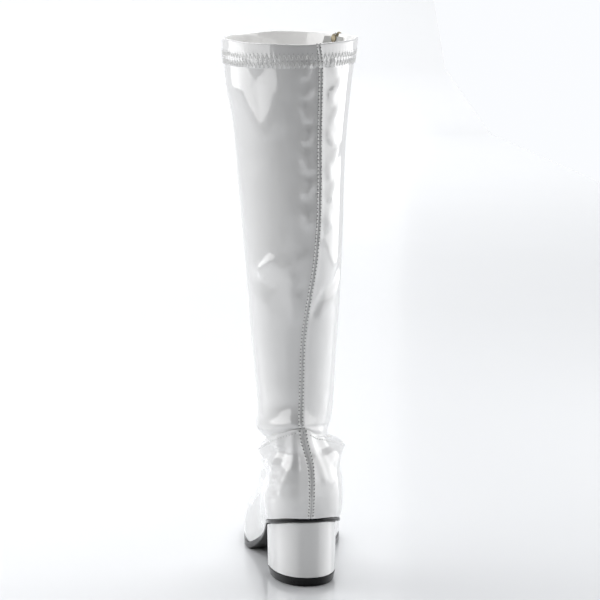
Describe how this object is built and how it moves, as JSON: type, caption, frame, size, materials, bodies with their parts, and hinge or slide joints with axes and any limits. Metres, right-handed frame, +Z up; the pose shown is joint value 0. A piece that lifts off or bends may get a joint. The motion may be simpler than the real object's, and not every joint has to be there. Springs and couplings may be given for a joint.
{
  "type": "go-go boot",
  "caption": "Knee-high go-go boot for the left foot: a glossy stretch shaft and foot on a low covered block heel, with an inner-side zip.",
  "frame": {"origin": "on the floor, at the middle of the heel's tread", "axes": "+Z up the shaft; the toe points along -Y; +X is the wearer's outer side and -X the inner side"},
  "size_m": [0.1167, 0.2644, 0.4462],
  "materials": {
    "patent": "white stretch patent: a glossy polyurethane film on knitted cloth",
    "sole": "smooth black sheet with a soft gloss",
    "lift": "hard black top piece, dull at the tread",
    "lining": "matt off-white sock lining",
    "zip_tape": "white woven tape with a coil chain",
    "metal": "plated metal"
  },
  "bodies": {
    "boot": {"upper": "patent", "heel": "patent", "outsole": "sole", "heel_lift": "lift", "insole": "lining", "zip": "zip_tape", "zip_slider": "metal"},
    "pull": {"zip_pull": "metal"}
  },
  "joints": [
    {"name": "pull_hinge", "type": "hinge", "parent": "boot", "child": "pull", "pos_m": [-0.0358, -0.04666, 0.43981], "axis": [-0.5423, 0.8402, 0], "range_deg": [0, 150]}
  ]
}
